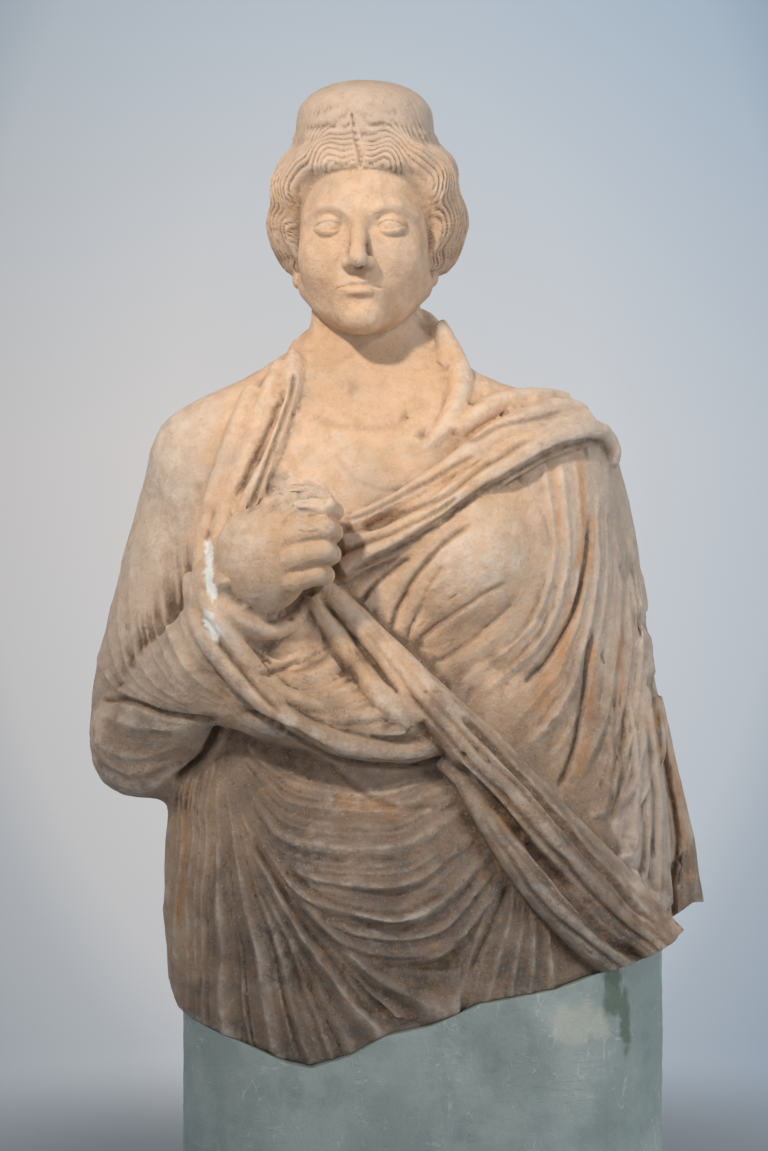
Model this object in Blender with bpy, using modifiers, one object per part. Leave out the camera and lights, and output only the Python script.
"""A half-length marble figure wrapped in a mantle, on the plaster support cast to its broken foot.

The figure is laid out on a carver's grid. One row of the grid is a fixed share of the figure's height,
columns run to the visitor's right from the axis of the head, rows run up from the lowest point of the break,
and depth is counted in rows towards the visitor. The whole figure is shaped in rows and brought to its real
size once, at the end.
"""

import math

import bmesh
import bpy
import numpy as np
from mathutils import Matrix, Vector
from mathutils.bvhtree import BVHTree

# Driving dimensions, in metres.
FIGURE_HEIGHT = 1.05
SUPPORT_WIDTH = 0.518
SUPPORT_DEPTH = 0.300
SUPPORT_HEIGHT = 0.120
JOINT_GAP = 0.0003

# The carver's grid, in rows.
FIGURE_ROWS = 97.2
VISITOR_DISTANCE = 324.0
EYE_COLUMN = 1.9
EYE_ROW = 49.3
SUPPORT_COLUMN = 5.75
FRONT_DEPTH = 13.0

# Fineness of the working meshes, in rows, and the triangles that each keeps.
CORE_VOXEL = 0.9
BODY_VOXEL = 0.42
HAND_VOXEL = 0.3
BODY_TRIANGLES = 5500
HEAD_TRIANGLES = 3200
HAND_TRIANGLES = 640
HEAD_RAYS = (200, 150)
SHARP_ANGLE = 50

# Level of each cross-section of the trunk: row, left, right, front depth, back depth.
TRUNK = (
    (-4, -17.5, 29.5, 11.0, -11.5),
    (6, -19.4, 29.0, 12.3, -12.5),
    (14, -19.8, 29.2, 13.2, -13.0),
    (24, -19.6, 28.8, 13.0, -13.0),
    (32, -18.2, 28.0, 11.6, -12.5),
    (40, -18.0, 27.0, 11.2, -12.5),
    (48, -18.6, 26.2, 11.4, -13.0),
    (55, -20.6, 25.5, 10.8, -13.2),
    (60, -21.7, 24.6, 9.2, -13.0),
    (63.3, -21.0, 23.6, 7.8, -12.2),
    (65.5, -19.2, 21.6, 6.8, -11.2),
    (67.4, -15.8, 17.6, 6.0, -10.2),
    (69.2, -11.6, 12.0, 5.0, -9.2),
    (71.2, -8.6, 9.4, 3.6, -8.3),
    (73.0, -6.2, 7.4, 2.0, -7.4),
    (74.6, -4.6, 5.6, 0.0, -6.6),
)
TRUNK_SQUARENESS = 2.5

# Rounded masses under the cloth: centre column, row, depth, then radius across, deep and up.
MASSES = (
    (8.8, 51.0, 7.4, 8.4, 6.6, 8.8),
    (-8.0, 52.0, 6.6, 7.6, 5.4, 8.4),
    (2.0, 19.0, 5.0, 18.0, 9.8, 16.0),
    (-21.6, 33.6, 3.0, 6.2, 6.2, 6.6),
    (-22.6, 31.8, 2.6, 4.9, 5.4, 4.9),
    (-8.2, 41.0, 9.4, 6.4, 4.8, 6.6),
)

# Limbs under the cloth, as points (column, row, depth, radius).
RIGHT_UPPER_ARM = (
    (-16.2, 61.0, -1.5, 5.2),
    (-18.3, 52.0, 0.0, 5.7),
    (-20.2, 43.5, 1.0, 5.8),
    (-21.6, 36.0, 2.0, 6.0),
    (-21.8, 32.5, 2.5, 5.0),
)
RIGHT_FOREARM = (
    (-21.0, 34.5, 4.0, 5.6),
    (-17.0, 39.0, 8.6, 5.4),
    (-14.0, 43.6, 11.6, 4.8),
    (-12.6, 47.6, 13.2, 4.3),
    (-11.8, 50.4, 13.6, 3.6),
)
LEFT_ARM = (
    (20.2, 61.0, -2.0, 5.2),
    (22.6, 52.0, -1.0, 5.0),
    (24.2, 42.0, 0.5, 4.8),
    (25.6, 30.0, 1.5, 4.8),
    (26.6, 16.0, 1.0, 4.6),
)
NECK = (
    (0.0, 74.0, -1.6, 5.6),
    (0.0, 69.0, -1.8, 5.7),
    (0.2, 63.0, -2.2, 6.6),
)
SLING = (
    (-16.0, 38.5, 9.0, 3.6),
    (-10.0, 37.0, 12.0, 3.8),
    (-3.0, 35.4, 12.6, 3.8),
    (4.0, 34.8, 12.4, 3.2),
    (8.0, 34.6, 11.4, 2.4),
)
HANGING_END = (
    (28.0, 41.0, -4.5, 0.7),
    (29.6, 32.0, -5.0, 1.3),
    (31.0, 24.0, -5.5, 1.7),
    (32.2, 15.4, -5.5, 1.8),
    (32.5, 12.0, -5.5, 1.8),
)
HANGING_LINING = (
    (26.2, 42.0, -5.0, 1.6),
    (27.4, 32.0, -5.5, 2.2),
    (28.4, 24.0, -6.0, 2.6),
    (29.2, 15.4, -6.0, 2.8),
    (29.5, 10.0, -6.0, 2.8),
)

# Rolls of cloth that lie on the body: points (column, row, radius), how far their axis stands off it.
ROLLS = {
    "main_roll": (((-4.2, 48.4, 0.9), (-0.5, 44.6, 1.3), (2.4, 41.1, 1.75), (5.4, 37.8, 2.05),
                   (9.9, 32.8, 2.3),
                   (14.2, 28.2, 2.5), (18.4, 23.5, 2.6), (24.2, 17.2, 2.5), (31.5, 9.8, 2.3)), 1.1),
    "edge_roll": (((2.6, 42.4, 0.4), (7.9, 37.2, 0.8), (13.3, 32.0, 1.0), (19.7, 25.2, 1.1),
                   (24.3, 20.5, 1.15), (33.0, 11.2, 1.1)), 1.9),
    "thin_roll": (((-5.2, 47.2, 0.9), (-2.5, 42.6, 1.1), (0.1, 38.9, 1.15), (2.6, 36.0, 1.0),
                   (5.2, 33.2, 0.5)), 1.0),
    "roll_lining": (((-4.2, 46.4, 0.9), (-0.9, 42.0, 1.3), (2.2, 38.2, 1.4), (6.4, 34.0, 1.2)), 0.7),
    "lower_roll": (((7.6, 31.0, 0.8), (9.9, 28.6, 0.9), (11.9, 25.5, 1.3), (14.8, 21.7, 1.7),
                    (18.2, 17.6, 2.0), (22.4, 13.4, 2.2), (28.0, 8.6, 2.2)), 1.2),
    "lower_lining": (((12.0, 26.2, 0.8), (17.4, 21.0, 1.2), (22.6, 15.6, 1.4), (30.0, 8.6, 1.4)), 0.9),
    "shoulder_lip": (((-2.4, 49.9, 1.1), (2.0, 52.1, 1.2), (6.0, 54.7, 1.3), (10.4, 57.9, 1.3),
                      (16.6, 61.6, 1.4), (20.6, 63.4, 1.4), (23.4, 63.6, 1.4), (24.9, 61.8, 1.2),
                      (25.2, 59.8, 0.9)), 1.2),
    "shoulder_fold": (((-2.2, 52.5, 0.9), (2.6, 53.9, 1.0), (7.0, 56.1, 1.1), (12.4, 60.2, 1.2),
                       (17.6, 63.3, 1.3), (22.4, 65.0, 1.2)), 1.0),
    "shoulder_crown": (((-1.6, 54.6, 0.7), (4.0, 57.3, 0.9), (9.4, 60.6, 1.2), (14.0, 63.8, 1.4),
                        (19.0, 65.8, 1.4), (22.2, 65.6, 1.0)), 0.8),
    "shoulder_top": (((9.0, 63.6, 0.9), (13.0, 66.4, 1.2), (17.0, 67.0, 1.2), (20.6, 66.8, 1.0)), 0.6),
    "collar_right": (((7.2, 74.6, 0.9), (8.8, 71.6, 1.1), (9.5, 69.4, 1.2), (9.4, 67.0, 1.2),
                      (8.2, 64.4, 1.1), (5.4, 61.8, 0.8)), 0.6),
    "collar_inner": (((-6.9, 71.6, 0.9), (-7.6, 67.4, 1.0), (-9.4, 62.2, 1.1), (-11.2, 57.4, 1.1),
                      (-12.2, 54.0, 1.1), (-12.6, 50.0, 1.0)), 0.9),
    "collar_middle": (((-8.4, 70.4, 0.9), (-10.2, 65.6, 1.1), (-12.0, 60.4, 1.2), (-13.6, 55.8, 1.2),
                       (-14.4, 52.0, 1.2), (-13.8, 48.0, 1.0)), 0.8),
    "collar_outer": (((-11.2, 68.0, 0.9), (-13.0, 63.4, 1.1), (-14.4, 58.8, 1.2), (-15.6, 54.0, 1.3),
                      (-16.0, 50.0, 1.3), (-15.4, 46.6, 1.3), (-13.6, 43.2, 1.3), (-11.0, 40.2, 1.1),
                      (-7.6, 37.8, 0.8), (-3.4, 37.2, 0.4)), 0.8),
    "sling_lip": (((-17.4, 49.0, 1.0), (-16.6, 44.6, 1.1), (-13.8, 40.4, 1.2), (-10.0, 36.8, 1.3),
                   (-5.4, 33.6, 1.3), (0.0, 32.0, 1.3), (4.6, 31.8, 1.2), (8.0, 32.6, 1.0)), 1.0),
    "wrist_bowl": (((-14.4, 46.4, 0.5), (-12.2, 44.7, 0.9), (-9.6, 43.8, 0.9), (-7.2, 44.6, 0.8),
                    (-5.4, 47.0, 0.5)), 0.5),
}
# The edge of the mantle round the back of the neck: points (column, row, depth, radius).
COLLAR_BACK = (
    (-6.6, 70.8, 1.5, 1.1),
    (-6.3, 72.0, -2.6, 1.3),
    (-3.4, 73.4, -7.0, 1.5),
    (2.2, 74.4, -7.4, 1.6),
    (5.4, 74.6, -4.2, 1.4),
    (7.0, 72.8, -0.6, 1.4),
    (8.6, 69.8, 2.6, 1.3),
)

# Folds on the front, family by family: guide paths as the visitor sees them, how many folds lie between the
# first guide and the last, their height for their width, how far their crests lean, and the shares of their
# length over which they rise and die.
FOLDS = {
    "left_fan": ((((-17.6, 32.5), (-19.6, 27.0), (-20.4, 20.0), (-20.6, 12.0), (-20.4, 3.0)),
                  ((-14.6, 31.0), (-15.0, 24.0), (-15.4, 15.5), (-15.4, 8.0), (-15.2, 1.5)),
                  ((-13.2, 29.6), (-10.4, 20.0), (-7.0, 12.5), (-4.2, 6.0), (-1.6, 0.5))),
                 7, 0.50, 0.0, (0.1, 0.03)),
    "strong_folds": ((((-13.4, 29.0), (-11.0, 19.0), (-7.4, 11.4), (-4.2, 6.0), (-1.6, 1.0)),
                      ((-13.2, 28.4), (-9.0, 19.6), (-4.4, 12.6), (0.4, 7.6), (4.6, 3.0)),
                      ((-13.0, 28.0), (-8.0, 20.2), (-3.0, 14.4), (3.0, 10.0), (11.0, 10.4))),
                     2, 0.60, 0.5, (0.12, 0.06)),
    "belly": ((((-12.8, 33.4), (-8.0, 29.8), (-3.0, 28.2), (2.0, 28.2), (7.4, 29.8)),
               ((-12.6, 28.6), (-8.6, 22.2), (-2.0, 20.6), (4.6, 21.0), (11.0, 25.8)),
               ((-9.8, 19.6), (-5.0, 13.6), (1.4, 10.6), (8.0, 11.4), (15.0, 19.2))),
              6, 0.46, 0.8, (0.15, 0.2)),
    "under_the_roll": ((((13.4, 20.4), (10.6, 14.0), (6.0, 2.0)),
                        ((17.6, 17.2), (19.4, 12.4), (20.0, 5.0))), 4, 0.42, 0.2, (0.1, 0.04)),
    "sleeve": ((((-16.0, 66.4), (-17.2, 57.0), (-17.4, 48.0), (-15.6, 42.5), (-9.8, 36.6)),
                ((-20.7, 63.2), (-22.0, 53.0), (-21.9, 43.6), (-19.6, 39.0), (-14.0, 36.2)),
                ((-24.4, 56.0), (-26.2, 48.0), (-26.8, 41.0), (-24.5, 37.2), (-18.8, 35.6))),
               6, 0.34, 0.3, (0.5, 0.08)),
    "shoulder_cloth": ((((-9.6, 70.2), (-13.0, 64.0), (-15.0, 58.0)),
                        ((-18.4, 65.4), (-20.0, 58.0), (-20.6, 50.0))), 2, 0.10, 0.0, (0.3, 0.4)),
    "sling_bowls": ((((-13.6, 45.6), (-11.2, 42.4), (-8.4, 41.2), (-5.4, 42.4)),
                     ((-11.0, 40.0), (-7.0, 36.9), (-3.4, 36.0), (0.8, 37.4)),
                     ((-9.4, 34.4), (-4.4, 32.4), (1.0, 31.6), (7.0, 32.4))), 5, 0.48, 0.7, (0.12, 0.18)),
    "round_the_breast": ((((17.0, 61.4), (18.4, 54.0), (17.8, 48.4), (14.8, 43.0), (7.6, 38.2)),
                          ((21.6, 62.0), (22.2, 54.0), (21.4, 46.6), (18.6, 40.4), (12.6, 33.6)),
                          ((24.6, 58.0), (24.8, 50.0), (24.0, 42.0), (21.8, 34.6), (18.0, 28.6))),
                         4, 0.36, -0.4, (0.1, 0.15)),
    "left_side": ((((24.4, 60.4), (25.0, 50.0), (24.2, 41.0), (22.2, 33.0), (19.0, 27.0)),
                   ((27.6, 50.0), (29.4, 41.0), (30.0, 33.0), (28.6, 27.6), (26.0, 23.6))),
                  4, 0.30, 0.0, (0.1, 0.25)),
    "elbow_sack": ((((-26.6, 37.0), (-22.0, 35.8), (-16.8, 34.4)),
                    ((-27.6, 33.0), (-23.4, 30.8), (-16.8, 32.8)),
                    ((-26.4, 28.6), (-21.8, 27.2), (-17.6, 30.6))), 4, 0.24, 0.3, (0.1, 0.15)),
    "hanging_cloth": ((((28.4, 37.0), (28.8, 29.0), (29.2, 22.0), (28.6, 16.0)),
                       ((30.6, 36.0), (32.2, 28.0), (33.6, 20.0), (34.0, 14.0))), 2, 0.22, 0.0, (0.12, 0.05)),
    "under_the_breast": ((((-0.6, 46.4), (2.4, 50.2), (6.6, 53.4)),
                          ((3.8, 42.6), (7.4, 46.6), (12.4, 50.4)),
                          ((7.6, 38.9), (13.0, 41.2), (18.6, 47.2))), 4, 0.12, 0.4, (0.12, 0.4)),
    "collar_by_the_neck": ((((8.6, 72.2), (9.6, 68.0), (8.8, 65.0), (6.0, 62.0)),
                            ((12.6, 70.0), (13.2, 67.0), (12.0, 63.6), (10.0, 61.6))),
                           2, 0.3, 0.0, (0.2, 0.4)),
}

# The same for the back, where columns and rows are those of the figure itself.
BACK_FOLDS = {
    "from_shoulder_to_arm": ((((-12.0, 69.0), (-14.0, 50.0), (-6.0, 32.0), (10.0, 22.0)),
                              ((4.0, 71.0), (4.0, 50.0), (12.0, 36.0), (24.0, 30.0)),
                              ((18.0, 68.0), (22.0, 54.0), (25.0, 46.0), (28.0, 42.0))),
                             6, 0.30, 0.4, (0.2, 0.15)),
    "down_to_the_break": ((((-19.0, 30.0), (-20.0, 20.0), (-21.0, 3.0)),
                           ((4.0, 22.0), (5.0, 14.0), (6.0, 2.0)),
                           ((27.0, 26.0), (28.0, 16.0), (30.0, 6.0))), 8, 0.30, 0.0, (0.25, 0.02)),
}
PATH_SAMPLES = 26
FOLD_UNEVENNESS = 0.25
FOLD_REACH = 4.8
WIDEST_FOLD = 3.6

# The deepest lines: paths with half width and depth, and the share of the length over which each end dies.
FURROWS = (
    (((8.6, 30.9), (14.0, 24.9), (19.0, 19.4), (24.4, 13.4), (28.5, 9.6)), 0.6, 1.2),
    (((9.4, 35.6), (15.4, 29.4), (20.4, 23.9), (30.0, 13.6)), 0.5, 0.8),
    (((-4.9, 47.4), (-2.0, 43.6), (0.8, 40.1), (3.6, 37.0)), 0.5, 0.8),
    (((-2.6, 49.0), (6.0, 53.6), (13.5, 58.8), (20.0, 62.4), (24.4, 62.5)), 0.55, 0.8),
    (((-2.0, 53.2), (2.0, 54.6), (7.0, 57.1), (12.0, 60.4), (17.0, 63.4)), 0.5, 0.5),
    (((-7.0, 70.0), (-9.0, 63.0), (-10.7, 58.0), (-11.5, 55.0)), 0.5, 0.6),
    (((-8.2, 68.0), (-9.5, 64.5), (-11.5, 60.0), (-13.0, 57.0)), 0.5, 0.9),
    (((-0.9, 46.4), (1.6, 48.9), (4.6, 51.2)), 0.45, 0.6),
    (((2.1, 43.7), (3.6, 47.0), (6.2, 50.7), (10.7, 54.9)), 0.45, 0.6),
    (((22.7, 56.0), (22.2, 50.0), (20.9, 45.4), (18.6, 41.4), (15.2, 37.6)), 0.5, 0.9),
    (((23.2, 44.0), (21.8, 38.0), (20.9, 32.0), (19.2, 27.8)), 0.5, 0.8),
    (((-26.6, 37.2), (-23.0, 36.5), (-20.0, 35.6), (-17.0, 35.2), (-14.6, 34.9)), 0.5, 1.0),
    (((-19.0, 28.6), (-16.2, 31.4), (-14.3, 34.3)), 0.7, 1.4),
    (((-13.0, 36.5), (-9.0, 34.6), (-5.0, 32.3), (3.0, 30.2), (7.0, 30.9)), 0.5, 0.9),
    (((-11.6, 24.0), (-8.0, 17.0), (-4.0, 11.0), (1.6, 4.4)), 0.5, 0.7),
)
FURROW_FADE = 0.12

# Hand: the wrist, then each finger from its knuckle to the curled tip, as (column, row, depth, radius).
FOREARM_END = (-15.4, 44.6, 11.0, 3.0)
WRIST = (-13.2, 49.2, 13.8, 3.3)
FINGERS = (
    ((-6.6, 56.0, 17.0, 1.4), (-4.0, 56.2, 17.4, 1.1), (-3.1, 55.7, 15.2, 1.0), (-5.6, 54.9, 14.0, 0.9)),
    ((-6.4, 53.7, 18.0, 1.4), (-4.1, 54.0, 18.3, 1.15), (-3.2, 53.6, 15.9, 1.05), (-5.6, 53.0, 14.4, 1.0)),
    ((-6.6, 51.3, 18.1, 1.4), (-4.2, 51.7, 18.3, 1.15), (-3.4, 51.4, 15.9, 1.05), (-5.8, 50.8, 14.6, 1.0)),
    ((-7.2, 48.9, 17.3, 1.35), (-4.8, 49.5, 17.6, 1.1), (-4.0, 49.3, 15.5, 1.0), (-6.2, 49.0, 14.4, 0.9)),
)
THUMB = ((-11.0, 53.8, 15.0, 1.9), (-7.8, 57.0, 15.0, 1.5), (-5.0, 57.2, 14.8, 1.2), (-3.4, 56.4, 14.6, 0.8))
PALM = (-10.2, 51.0, 15.2, 4.7, 3.9, 5.3)

# The broken lower edge as the visitor sees it on the front of the figure: points (column, row).
BREAK_LINE = (
    (-40, 8.2), (-20.5, 7.8), (-19.2, 5.0), (-17.5, 4.0), (-12.5, 2.3), (-8.0, 0.5), (-5.5, 0.0),
    (-1.5, 1.3), (2.0, 3.3), (6.5, 4.3), (11.5, 6.5), (19.0, 7.8), (23.5, 9.3), (27.5, 10.4),
    (31.0, 12.3), (32.3, 13.2), (33.2, 13.9), (34.4, 14.8), (50, 15.0),
)
CUTTER_REACH = 80.0
SUPPORT_TOP = 16.0
SUPPORT_SQUARENESS = 2.6
SUPPORT_SIDES = 96
WELD = 1e-4

# The head on its own grid: columns from its middle, depth from the neck's axis, rows up from the chin.
HEAD_COLUMN = 0.0
HEAD_ROW = 72.9
HEAD_DEPTH = 1.2
HEAD_TURN = math.radians(4)
HEAD_CENTRE = np.array((0.0, -0.5, 8.0))
RAY_LENGTH = 26.0
RAY_HALVINGS = 16
FACE_CROWDING = 0.35
STRANDS = 26

MARBLE_COLOUR = (0.60, 0.47, 0.37, 1.0)
PLASTER_COLOUR = (0.38, 0.41, 0.39, 1.0)


def main():
    clear_scene()
    part = collection("marble_figure_on_support")
    tools = collection("cutters")
    body = carved_body()
    head = carved_head()
    hand = carved_hand()
    marble = joined_marble(body, head, hand, tools)
    support = plaster_support()
    marble = with_boolean(marble, break_block("break_cutter", below=True), "DIFFERENCE", tools)
    support = with_boolean(support, break_block("support_cutter", below=False), "DIFFERENCE", tools)
    for piece, colour, roughness in ((marble, MARBLE_COLOUR, 0.6), (support, PLASTER_COLOUR, 0.75)):
        bring_to_size(piece)
        piece.data.shade_smooth()
        piece.data.set_sharp_from_angle(angle=math.radians(SHARP_ANGLE))
        piece.data.materials.append(plain_material(piece.name, colour, roughness))
        part.objects.link(piece)


def clear_scene():
    for old in list(bpy.data.objects):
        bpy.data.objects.remove(old)


def collection(name):
    made = bpy.data.collections.new(name)
    bpy.context.scene.collection.children.link(made)
    return made


def plain_material(name, colour, roughness):
    """A plain material of one colour."""
    material = bpy.data.materials.new(name)
    material.use_nodes = True
    shader = material.node_tree.nodes["Principled BSDF"]
    shader.inputs["Base Color"].default_value = colour
    shader.inputs["Roughness"].default_value = roughness
    shader.inputs["Metallic"].default_value = 0.0
    return material


def place(column, row, depth):
    """The point that a visitor in front sees at this column and row, at this depth of the figure."""
    near = 1 - depth / VISITOR_DISTANCE
    return Vector((EYE_COLUMN + (column - EYE_COLUMN) * near, -depth, EYE_ROW + (row - EYE_ROW) * near))


def seen(points):
    """Column and row at which a visitor in front sees each point."""
    near = 1 + points[:, 1] / VISITOR_DISTANCE
    eye = np.array((EYE_COLUMN, EYE_ROW))
    return eye + (points[:, [0, 2]] - eye) / near[:, None]


def smooth_path(points, samples):
    """Points evenly along a smooth curve through the given ones."""
    through = np.array(points, float)
    ends = np.vstack([2 * through[0] - through[1], through, 2 * through[-1] - through[-2]])
    along = np.linspace(0, len(through) - 1, samples)
    first = np.minimum(along.astype(int), len(through) - 2)
    part = (along - first)[:, None]
    a, b, c, d = ends[first], ends[first + 1], ends[first + 2], ends[first + 3]
    return 0.5 * (2 * b + (c - a) * part + (2 * a - 5 * b + 4 * c - d) * part**2
                  + (3 * b - a - 3 * c + d) * part**3)


def mesh_object(name, mesh):
    made = bpy.data.objects.new(name, mesh)
    bpy.context.scene.collection.objects.link(made)
    return made


def evaluated_mesh(piece):
    graph = bpy.context.evaluated_depsgraph_get()
    mesh = bpy.data.meshes.new_from_object(piece.evaluated_get(graph))
    mesh.transform(piece.matrix_world)
    return mesh


def tube(name, points, samples=28, resolution=4):
    """A round bar of changing thickness through points (column, row, depth, radius)."""
    run = smooth_path([(*place(x, z, y), r) for x, z, y, r in points], samples)
    data = bpy.data.curves.new(name, "CURVE")
    data.dimensions = "3D"
    data.bevel_depth = 1.0
    data.bevel_resolution = resolution
    data.use_fill_caps = True
    spline = data.splines.new("POLY")
    spline.points.add(samples - 1)
    for point, (x, y, z, radius) in zip(spline.points, run):
        point.co = (x, y, z, 1)
        point.radius = radius
    return mesh_object(name, data)


def mass(name, column, row, depth, across, deep, up, segments=32):
    """A rounded mass, wider one way than another."""
    bm = bmesh.new()
    bmesh.ops.create_uvsphere(bm, u_segments=segments, v_segments=segments // 2, radius=1)
    bm.transform(Matrix.Translation(place(column, row, depth)) @ Matrix.Diagonal((across, deep, up, 1)))
    mesh = bpy.data.meshes.new(name)
    bm.to_mesh(mesh)
    bm.free()
    return mesh_object(name, mesh)


def squared_circle(sides, squareness):
    """Points round a circle that is flattened on its four sides."""
    points = []
    for step in range(sides):
        angle = 2 * math.pi * step / sides
        across, deep = math.cos(angle), math.sin(angle)
        power = 2 / squareness
        points.append((math.copysign(abs(across) ** power, across), math.copysign(abs(deep) ** power, deep)))
    return points


def trunk(rings=56, sides=72):
    """The trunk under the cloth: a loft through its cross-sections."""
    bm = bmesh.new()
    loops = []
    for row, left, right, front, back in smooth_path(TRUNK, rings):
        middle, half = (left + right) / 2, (right - left) / 2
        loops.append([bm.verts.new((middle + half * x, y * (-front if y > 0 else back), row))
                      for x, y in squared_circle(sides, TRUNK_SQUARENESS)])
    for low, high in zip(loops, loops[1:]):
        for step in range(sides):
            after = (step + 1) % sides
            bm.faces.new((low[step], high[step], high[after], low[after]))
    bm.faces.new(loops[0])
    bm.faces.new(reversed(loops[-1]))
    bmesh.ops.recalc_face_normals(bm, faces=bm.faces)
    mesh = bpy.data.meshes.new("trunk")
    bm.to_mesh(mesh)
    bm.free()
    return mesh_object("trunk", mesh)


def fused(name, pieces, voxel, smoothing, factor=0.5):
    """One closed skin round all the pieces, with the creases between them softened."""
    bm = bmesh.new()
    for piece in pieces:
        mesh = evaluated_mesh(piece)
        bm.from_mesh(mesh)
        bpy.data.meshes.remove(mesh)
        bpy.data.objects.remove(piece)
    mesh = bpy.data.meshes.new(name)
    bm.to_mesh(mesh)
    bm.free()
    made = mesh_object(name, mesh)
    remesh = made.modifiers.new("skin", "REMESH")
    remesh.mode = "VOXEL"
    remesh.voxel_size = voxel
    if smoothing:
        smooth = made.modifiers.new("soften", "SMOOTH")
        smooth.factor = factor
        smooth.iterations = smoothing
    return applied(made)


def applied(piece):
    """The piece with its modifiers made real."""
    mesh = evaluated_mesh(piece)
    name = piece.name
    bpy.data.objects.remove(piece)
    return mesh_object(name, mesh)


def laid_on(ground, points, lift, samples=28):
    """Points (column, row, radius) brought to the front of a mesh, standing off by a share of the radius."""
    run = smooth_path(points, samples)
    eye = Vector((EYE_COLUMN, -VISITOR_DISTANCE, EYE_ROW))
    depths = []
    for column, row, _ in run:
        hit = ground.ray_cast(eye, (place(column, row, 0) - eye).normalized())[0]
        depths.append(-hit.y if hit else None)
    known = [number for number, depth in enumerate(depths) if depth is not None]
    depths = np.interp(range(samples), known, [depths[number] for number in known])
    for _ in range(8):
        depths[1:-1] = (depths[:-2] + 2 * depths[1:-1] + depths[2:]) / 4
    return [(column, row, depth + (lift - 0.5) * radius, radius)
            for (column, row, radius), depth in zip(run, depths)]


def body_core():
    """The figure's body and limbs, before any cloth is laid on."""
    pieces = [trunk()]
    pieces += [mass("mass", *numbers) for numbers in MASSES]
    pieces += [tube("limb", points) for points in (RIGHT_UPPER_ARM, RIGHT_FOREARM, LEFT_ARM, NECK, SLING)]
    return fused("core", pieces, CORE_VOXEL, 12)


def vertex_arrays(mesh):
    points = np.empty(len(mesh.vertices) * 3)
    mesh.vertices.foreach_get("co", points)
    normals = np.empty(len(mesh.vertices) * 3)
    mesh.vertices.foreach_get("normal", normals)
    return points.reshape(-1, 3), normals.reshape(-1, 3)


def soft_normals(mesh, rounds=6):
    """Directions that change gently over the mesh, so that close folds rise side by side."""
    normals = vertex_arrays(mesh)[1]
    edges = np.empty(len(mesh.edges) * 2, np.int64)
    mesh.edges.foreach_get("vertices", edges)
    one, other = edges.reshape(-1, 2).T
    for _ in range(rounds):
        total = normals.copy()
        for axis in range(3):
            total[:, axis] += np.bincount(one, normals[other, axis], len(normals))
            total[:, axis] += np.bincount(other, normals[one, axis], len(normals))
        normals = total / np.linalg.norm(total, axis=1, keepdims=True)
    return normals


def near_path(plane, path, reach):
    """Points of the plane near the path: which, how far to its left, and how far along from 0 to 1."""
    low, high = path.min(0) - reach, path.max(0) + reach
    chosen = np.flatnonzero(((plane > low) & (plane < high)).all(1))
    best = np.full(len(chosen), np.inf)
    side = np.zeros(len(chosen))
    along = np.zeros(len(chosen))
    points = plane[chosen]
    for number, (start, end) in enumerate(zip(path, path[1:])):
        run = end - start
        off = points - start
        part = np.clip(off @ run / max(run @ run, 1e-9), 0, 1)
        gap = off - part[:, None] * run
        distance = np.hypot(gap[:, 0], gap[:, 1])
        closer = distance < best
        best[closer] = distance[closer]
        side[closer] = (run[0] * gap[:, 1] - run[1] * gap[:, 0])[closer]
        along[closer] = (number + part[closer]) / (len(path) - 1)
    return chosen, np.copysign(best, side), along


def eased(share):
    share = np.clip(share, 0, 1)
    return share * share * (3 - 2 * share)


def crest(share, lean):
    """Height across one fold, from one furrow beside it to the next: round, with its top off the middle."""
    top = 0.5 + 0.34 * lean
    return np.minimum(share / top, (1 - share) / (1 - top)) ** 1.3


def between(guides, spots):
    """Lines at the given spots, where 0 is the first guide, 1 the next, and so on."""
    guides = np.array([smooth_path(guide, 24) for guide in guides])
    first = np.clip(spots.astype(int), 0, len(guides) - 2)
    part = (spots - first)[:, None, None]
    return guides[first] * (1 - part) + guides[first + 1] * part


def pleats(plane, guides, count, height, lean, ends, rng):
    """Height that a family of folds, spread between its guide paths, gives each point of the plane."""
    total = np.zeros(len(plane))
    spots = np.linspace(0, len(guides) - 1, count + 1)
    spots[1:-1] += rng.uniform(-FOLD_UNEVENNESS, FOLD_UNEVENNESS, count - 1) * spots[1]
    rise, fall = ends
    left = None
    for line in between(guides, spots):
        distance = np.full(len(plane), np.nan)
        along = np.zeros(len(plane))
        chosen, side, where = near_path(plane, line, FOLD_REACH)
        distance[chosen], along[chosen] = side, where
        if left is not None:
            inside = np.flatnonzero(distance * left < 0)
            width = np.abs(distance[inside]) + np.abs(left[inside])
            share = np.abs(left[inside]) / width
            fade = eased(along[inside] / rise) * eased((1 - along[inside]) / fall)
            tall = height * rng.uniform(0.8, 1.2) * np.minimum(width, WIDEST_FOLD)
            total[inside] = np.maximum(total[inside], tall * fade * crest(share, lean))
        left = distance
    return total


def furrow(plane, path, half, depth):
    """Depth of a narrow drilled line, which dies out at both ends."""
    cut = np.zeros(len(plane))
    chosen, across, along = near_path(plane, smooth_path(path, PATH_SAMPLES), half)
    fade = eased(along / FURROW_FADE) * eased((1 - along) / FURROW_FADE)
    cut[chosen] = depth * fade * np.clip(1 - np.abs(across) / half, 0, 1) ** 1.4
    return cut


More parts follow.
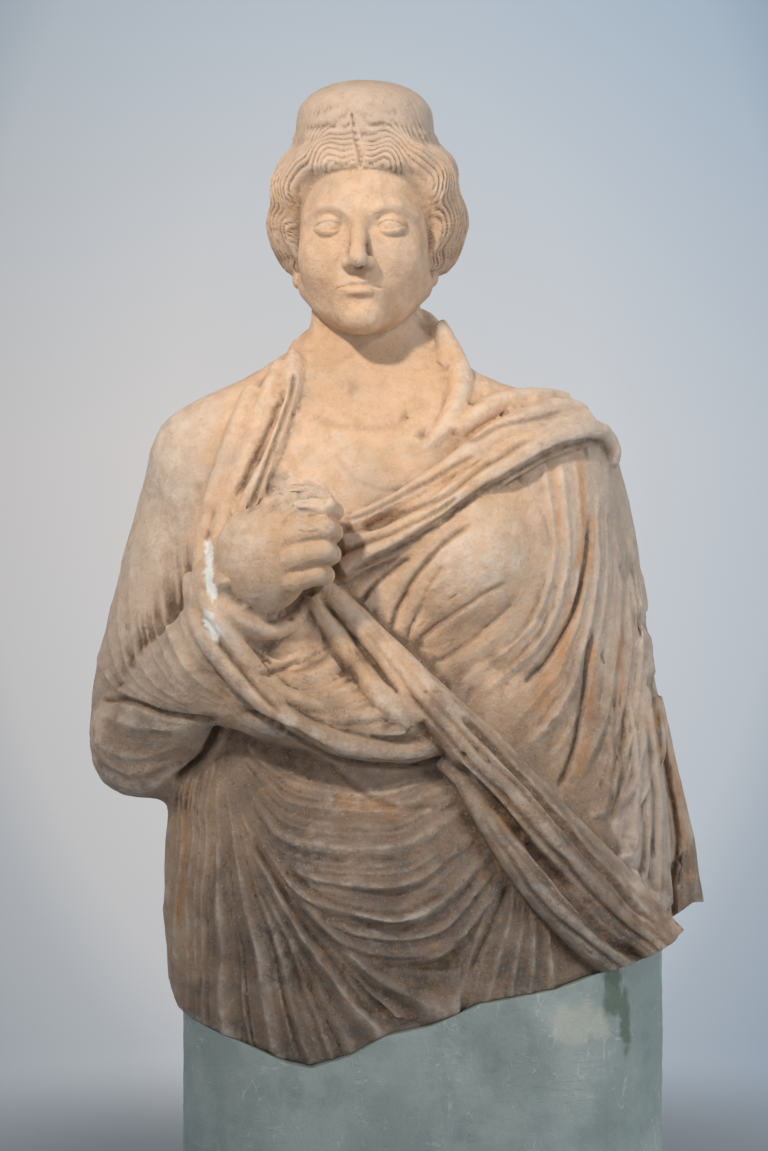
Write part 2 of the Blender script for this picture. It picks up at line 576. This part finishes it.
def carve(mesh):
    """Raises the folds and cuts the furrows on the skin of the body."""
    rng = np.random.default_rng(7)
    points, _ = vertex_arrays(mesh)
    normals = soft_normals(mesh)
    front = eased((0.3 - normals[:, 1]) / 0.5)
    back = eased((normals[:, 1] - 0.1) / 0.5)
    plane = seen(points)
    push = np.zeros(len(points))
    for guides, count, height, lean, ends in FOLDS.values():
        push = np.maximum(push, front * pleats(plane, guides, count, height, lean, ends, rng))
    for guides, count, height, lean, ends in BACK_FOLDS.values():
        push = np.maximum(push, back * pleats(points[:, [0, 2]], guides, count, height, lean, ends, rng))
    for path, half, depth in FURROWS:
        push -= front * furrow(plane, path, half, depth)
    moved = points + normals * push[:, None]
    mesh.vertices.foreach_set("co", moved.ravel())
    mesh.update()


def carved_body():
    """The draped body, ready to be joined."""
    core = body_core()
    ground = BVHTree.FromObject(core, bpy.context.evaluated_depsgraph_get())
    rolls = [tube(name, laid_on(ground, points, lift)) for name, (points, lift) in ROLLS.items()]
    rolls.append(tube("collar_back", COLLAR_BACK))
    rolls.append(tube("hanging_end", HANGING_END))
    rolls.append(tube("hanging_lining", HANGING_LINING))
    body = fused("body", [core] + rolls, BODY_VOXEL, 3)
    carve(body.data)
    return thinned(body, BODY_TRIANGLES)


def thinned(piece, triangles):
    """The piece with no more than this many triangles."""
    whole = sum(len(face.vertices) - 2 for face in piece.data.polygons)
    thin = piece.modifiers.new("thin", "DECIMATE")
    thin.ratio = min(1, triangles / whole)
    thin.use_collapse_triangulate = True
    return applied(piece)


def egg(p, centre, radii):
    """Distance to an ellipsoid, near enough close to it."""
    radii = np.array(radii, p.dtype)
    off = p - np.array(centre, p.dtype)
    near = np.linalg.norm(off / radii, axis=1)
    return near * (near - 1) / np.maximum(np.linalg.norm(off / radii**2, axis=1), 1e-9)


def bar(p, start, end, first, last):
    start = np.array(start, p.dtype)
    run = np.array(end, p.dtype) - start
    off = p - start
    part = np.clip(off @ run / (run @ run), 0, 1)
    return np.linalg.norm(off - part[:, None] * run, axis=1) - (first + (last - first) * part)


def chain(p, points):
    """Bars end to end through points (x, y, z, radius)."""
    total = None
    for one, two in zip(points, points[1:]):
        piece = bar(p, one[:3], two[:3], one[3], two[3])
        total = piece if total is None else np.minimum(total, piece)
    return total


def melt(a, b, soft):
    share = np.clip(0.5 + 0.5 * (b - a) / soft, 0, 1)
    return b + (a - b) * share - soft * share * (1 - share)


def scoop(a, b, soft):
    return -melt(-a, b, soft)


def eyes(m):
    off = m - np.array((2.9, 5.95, 10.5), m.dtype)
    across = off[:, 0] / 1.5
    upper = 0.60 * np.clip(1 - np.abs(across) ** 2.2, 0, 1) + 0.08 * across
    lower = -0.42 * np.clip(1 - np.abs(across) ** 2.0, 0, 1) + 0.04 * across
    outside = np.maximum(off[:, 2] - upper, lower - off[:, 2])
    lid = 0.17 * eased(outside / 0.10 + 0.5) * (1 - eased((outside - 0.34) / 0.5))
    ring = np.hypot(off[:, 0], off[:, 2] - 0.1)
    iris = -0.035 * np.exp(-(((ring - 0.56) / 0.07) ** 2)) - 0.10 * np.exp(-((ring / 0.20) ** 2))
    inside = 1 - eased(outside / 0.10 + 0.5)
    return np.linalg.norm(off, axis=1) - (1.5 + lid + iris * inside)


def skull(p, m):
    f = egg(p, (0, -1.5, 12.6), (6.9, 9.0, 8.8))
    f = melt(f, egg(p, (0, 1.5, 8.2), (6.25, 6.4, 8.0)), 1.2)
    f = melt(f, bar(m, (0.5, 5.4, 2.0), (5.0, -0.4, 5.4), 1.6, 1.7), 1.6)
    f = melt(f, egg(m, (3.6, 3.9, 7.4), (2.7, 3.1, 3.0)), 1.6)
    f = melt(f, egg(p, (0, 6.1, 1.75), (1.9, 1.75, 1.5)), 1.3)
    f = melt(f, egg(p, (0, 5.5, 4.7), (2.8, 2.6, 2.3)), 1.2)
    brow = chain(m, ((0.95, 7.05, 11.5, 0.42), (2.2, 7.0, 12.35, 0.52), (3.7, 6.3, 12.55, 0.5),
                     (5.2, 4.6, 11.7, 0.4)))
    f = melt(f, brow, 0.9)
    return scoop(f, egg(m, (2.95, 8.75, 10.75), (1.95, 2.0, 1.15)), 0.8)


def nose(p, m):
    f = bar(p, (0, 7.1, 11.9), (0, 9.55, 7.5), 0.58, 0.72)
    f = melt(f, egg(p, (0, 9.45, 7.05), (0.86, 0.95, 0.8)), 0.6)
    return melt(f, egg(m, (1.05, 8.35, 6.85), (0.62, 0.95, 0.66)), 0.6)


def mouth(f, p, m):
    f = scoop(f, bar(p, (0, 8.95, 6.0), (0, 8.75, 5.2), 0.22, 0.26), 0.3)
    upper = chain(m, ((0.0, 7.95, 4.98, 0.42), (0.55, 7.98, 5.12, 0.42), (1.5, 7.35, 4.82, 0.28),
                      (2.25, 6.6, 4.55, 0.12)))
    lower = chain(m, ((0.0, 7.95, 4.1, 0.52), (0.9, 7.75, 4.15, 0.46), (1.9, 6.85, 4.5, 0.15)))
    f = melt(melt(f, upper, 0.22), lower, 0.3)
    seam = chain(m, ((0.0, 8.55, 4.6, 0.10), (0.6, 8.5, 4.66, 0.10), (1.5, 7.8, 4.6, 0.09),
                     (2.1, 7.25, 4.52, 0.04)))
    f = scoop(f, seam, 0.12)
    return scoop(f, egg(p, (0, 8.75, 3.15), (1.2, 0.85, 0.42)), 0.6)


def neck(p, m):
    f = bar(p, (0, -2.6, 4.0), (0, -4.6, -9.5), 5.5, 5.9)
    f = melt(f, bar(m, (4.4, -3.0, 3.0), (1.3, 0.6, -8.6), 1.1, 0.9), 1.6)
    for level, deep in ((-2.9, 0.06), (-5.0, 0.05)):
        f = f + deep * np.exp(-(((p[:, 2] - level + 0.05 * p[:, 0] ** 2) / 0.22) ** 2))
    return f


def face_field(p, m):
    f = melt(skull(p, m), nose(p, m), 0.6)
    f = scoop(f, egg(m, (0.55, 9.1, 6.2), (0.3, 0.5, 0.32)), 0.15)
    f = np.minimum(f, eyes(m))
    return melt(mouth(f, p, m), neck(p, m), 1.0)


def window_ring(p):
    """One on the hairline, less inside it and more outside, the same all along a ray from the middle."""
    off = p - HEAD_CENTRE.astype(p.dtype)
    from_front = np.arctan2(np.hypot(off[:, 0], off[:, 2]), off[:, 1])
    turn = np.arctan2(np.abs(off[:, 0]), off[:, 2])
    hairline = 45.5 + 25.5 * np.abs(np.sin(turn)) ** 1.2 + 42 * np.clip(-np.cos(turn), 0, 1)
    hairline += 2.5 * np.exp(-((turn / 0.18) ** 2))
    return from_front / np.radians(hairline)


def hair_field(p, m):
    hair = egg(p, (0, -1.8, 12.4), (8.2, 9.8, 9.2))
    band = chain(m, ((0.0, 4.0, 17.3, 1.8), (2.4, 3.9, 17.5, 2.2), (4.7, 2.9, 16.7, 2.5),
    (6.4, 1.3, 14.9, 2.6),
                     (7.2, 0.0, 12.2, 2.4), (7.2, -0.9, 9.8, 2.0), (6.9, -1.2, 8.2, 1.4)))
    hair = melt(hair, band, 1.2)
    hair = melt(hair, egg(m, (7.0, -3.4, 10.6), (3.0, 4.4, 5.4)), 0.8)
    hair = melt(hair, egg(p, (0, -8.0, 9.2), (5.4, 3.8, 4.6)), 1.2)
    ring = window_ring(p)
    hair = hair + 1.3 * (1 - eased((ring - 0.97) / 0.07)) + 3.0 * (1 - eased((ring - 0.91) / 0.07))
    crown = egg(p, (-0.3, -2.5, 20.3), (7.5, 7.6, 3.8))
    crown = melt(crown, egg(p, (-0.3, -2.6, 22.4), (6.7, 7.0, 3.8)), 0.8)
    ear_lobe = egg(m, (6.9, -0.9, 5.9), (0.6, 0.8, 1.2))
    return melt(melt(hair, crown, 1.8), ear_lobe, 0.5)


def head_field(p):
    """Distance to the surface of head and hair: negative inside."""
    m = p.copy()
    m[:, 0] = np.abs(m[:, 0])
    return melt(face_field(p, m), hair_field(p, m) - strands(p), 0.10)


def strands(p):
    """Broad waved locks that run round the hairline and fade on the knot."""
    across, up = np.abs(p[:, 0]), p[:, 2] - 7.6
    theta = np.arctan2(np.hypot(across, up), p[:, 1] + 4.0)
    turn = np.arctan2(across, up)
    phase = (theta + 0.04 * np.sin(14 * turn + 5 * theta)) * STRANDS
    on_knot = eased((p[:, 2] - 20.2) / 0.8)
    outside = eased((window_ring(p) - 1.0) / 0.03)
    return 0.3 * (np.abs(np.sin(phase)) - 0.5) * (1 - on_knot) * outside


def cast(rays, centre, field):
    """How far each ray from the centre runs before it leaves the field."""
    near = np.zeros(len(rays))
    far = np.full(len(rays), RAY_LENGTH)
    for _ in range(RAY_HALVINGS):
        middle = (near + far) / 2
        inside = field(centre + rays * middle[:, None]) < 0
        near, far = np.where(inside, middle, near), np.where(inside, far, middle)
    return (near + far) / 2


def crowded(rays):
    """The rays turned towards the face, where the detail is."""
    angle = np.arctan2(rays[:, 0], rays[:, 1])
    angle -= FACE_CROWDING * np.sin(angle)
    flat = np.hypot(rays[:, 0], rays[:, 1])
    return np.stack([flat * np.sin(angle), flat * np.cos(angle), rays[:, 2]], 1)


def carved_head():
    """The head and neck: a sphere whose points are moved along their rays to the head's surface."""
    bm = bmesh.new()
    bmesh.ops.create_uvsphere(bm, u_segments=HEAD_RAYS[0], v_segments=HEAD_RAYS[1], radius=1)
    mesh = bpy.data.meshes.new("head")
    bm.to_mesh(mesh)
    bm.free()
    to_grid = np.array((1, -1, 1))
    rays = crowded(vertex_arrays(mesh)[0] * to_grid)
    points = HEAD_CENTRE + rays * cast(rays, HEAD_CENTRE, head_field)[:, None]
    mesh.vertices.foreach_set("co", (points * to_grid).ravel())
    mesh.update()
    head = mesh_object("head", mesh)
    where = place(HEAD_COLUMN, HEAD_ROW, HEAD_DEPTH)
    head.data.transform(Matrix.Translation(where) @ Matrix.Rotation(-HEAD_TURN, 4, "Z"))
    return thinned(head, HEAD_TRIANGLES)


def carved_hand():
    """The right hand, closed on the cloth."""
    pieces = []
    for knuckle, middle, bent, tip in FINGERS:
        pieces.append(tube("palm", (FOREARM_END, WRIST, knuckle), 20))
        pieces.append(tube("finger", (knuckle, middle), 8))
        pieces.append(tube("finger", (middle, bent), 8))
        pieces.append(tube("finger", (bent, tip), 8))
        for column, row, depth, radius in (knuckle, middle, bent, tip):
            pieces.append(mass("joint", column, row, depth, radius, radius, radius, 16))
    pieces.append(tube("thumb", (WRIST, *THUMB), 16))
    pieces.append(mass("palm", *PALM))
    hand = fused("hand", pieces, HAND_VOXEL, 5)
    return thinned(hand, HAND_TRIANGLES)


def with_boolean(piece, other, operation, tools):
    """The piece joined with, or cut by, the other one, which is kept as a tool."""
    tools.objects.link(other)
    bpy.context.scene.collection.objects.unlink(other)
    other.hide_render = True
    other.display_type = "WIRE"
    change = piece.modifiers.new(other.name, "BOOLEAN")
    change.operation = operation
    change.object = other
    change.solver = "EXACT"
    return applied(piece)


def joined_marble(body, head, hand, tools):
    """The figure as one block of stone."""
    marble = with_boolean(body, head, "UNION", tools)
    marble = with_boolean(marble, hand, "UNION", tools)
    marble.name = "marble_figure"
    return marble


def slab(name, outline, half_thickness):
    """A flat outline, drawn as a closed curve, filled and extruded to both sides."""
    data = bpy.data.curves.new(name, "CURVE")
    data.dimensions = "2D"
    data.fill_mode = "BOTH"
    data.extrude = half_thickness
    spline = data.splines.new("POLY")
    spline.points.add(len(outline) - 1)
    spline.use_cyclic_u = True
    for point, (x, y) in zip(spline.points, outline):
        point.co = (x, y, 0, 1)
    return applied(mesh_object(name, data))


def break_block(name, below):
    """All that lies under the broken edge of the marble, or over the top of its support."""
    gap = 0 if below else -JOINT_GAP * FIGURE_ROWS / FIGURE_HEIGHT
    line = [place(column, row, FRONT_DEPTH) for column, row in BREAK_LINE]
    far = -CUTTER_REACH if below else CUTTER_REACH
    outline = [(point.x, point.z + gap) for point in line] + [(line[-1].x, far), (line[0].x, far)]
    block = slab(name, outline, CUTTER_REACH / 2)
    block.data.transform(Matrix.Rotation(math.pi / 2, 4, "X"))
    weld(block.data)
    return block


def plaster_support():
    """The oval plaster drum, tall enough to be cut to the marble."""
    row = FIGURE_HEIGHT / FIGURE_ROWS
    half_width, half_depth = SUPPORT_WIDTH / 2 / row, SUPPORT_DEPTH / 2 / row
    ring = squared_circle(SUPPORT_SIDES, SUPPORT_SQUARENESS)
    outline = [(SUPPORT_COLUMN + half_width * x, half_depth * y) for x, y in ring]
    low = -SUPPORT_HEIGHT / row
    drum = slab("plaster_support", outline, (SUPPORT_TOP - low) / 2)
    drum.data.transform(Matrix.Translation((0, 0, (SUPPORT_TOP + low) / 2)))
    weld(drum.data)
    return drum


def weld(mesh):
    """Joins the rims that an extruded curve leaves open."""
    bm = bmesh.new()
    bm.from_mesh(mesh)
    bmesh.ops.remove_doubles(bm, verts=bm.verts, dist=WELD)
    bmesh.ops.recalc_face_normals(bm, faces=bm.faces)
    bm.to_mesh(mesh)
    bm.free()


def bring_to_size(piece):
    """From rows of the grid to metres, with the middle of the support's underside at the origin."""
    row = FIGURE_HEIGHT / FIGURE_ROWS
    piece.data.transform(
        Matrix.Translation((0, 0, SUPPORT_HEIGHT)) @ Matrix.Scale(row, 4)
        @ Matrix.Translation((-SUPPORT_COLUMN, 0, 0))
    )
    bpy.context.scene.collection.objects.unlink(piece)


main()
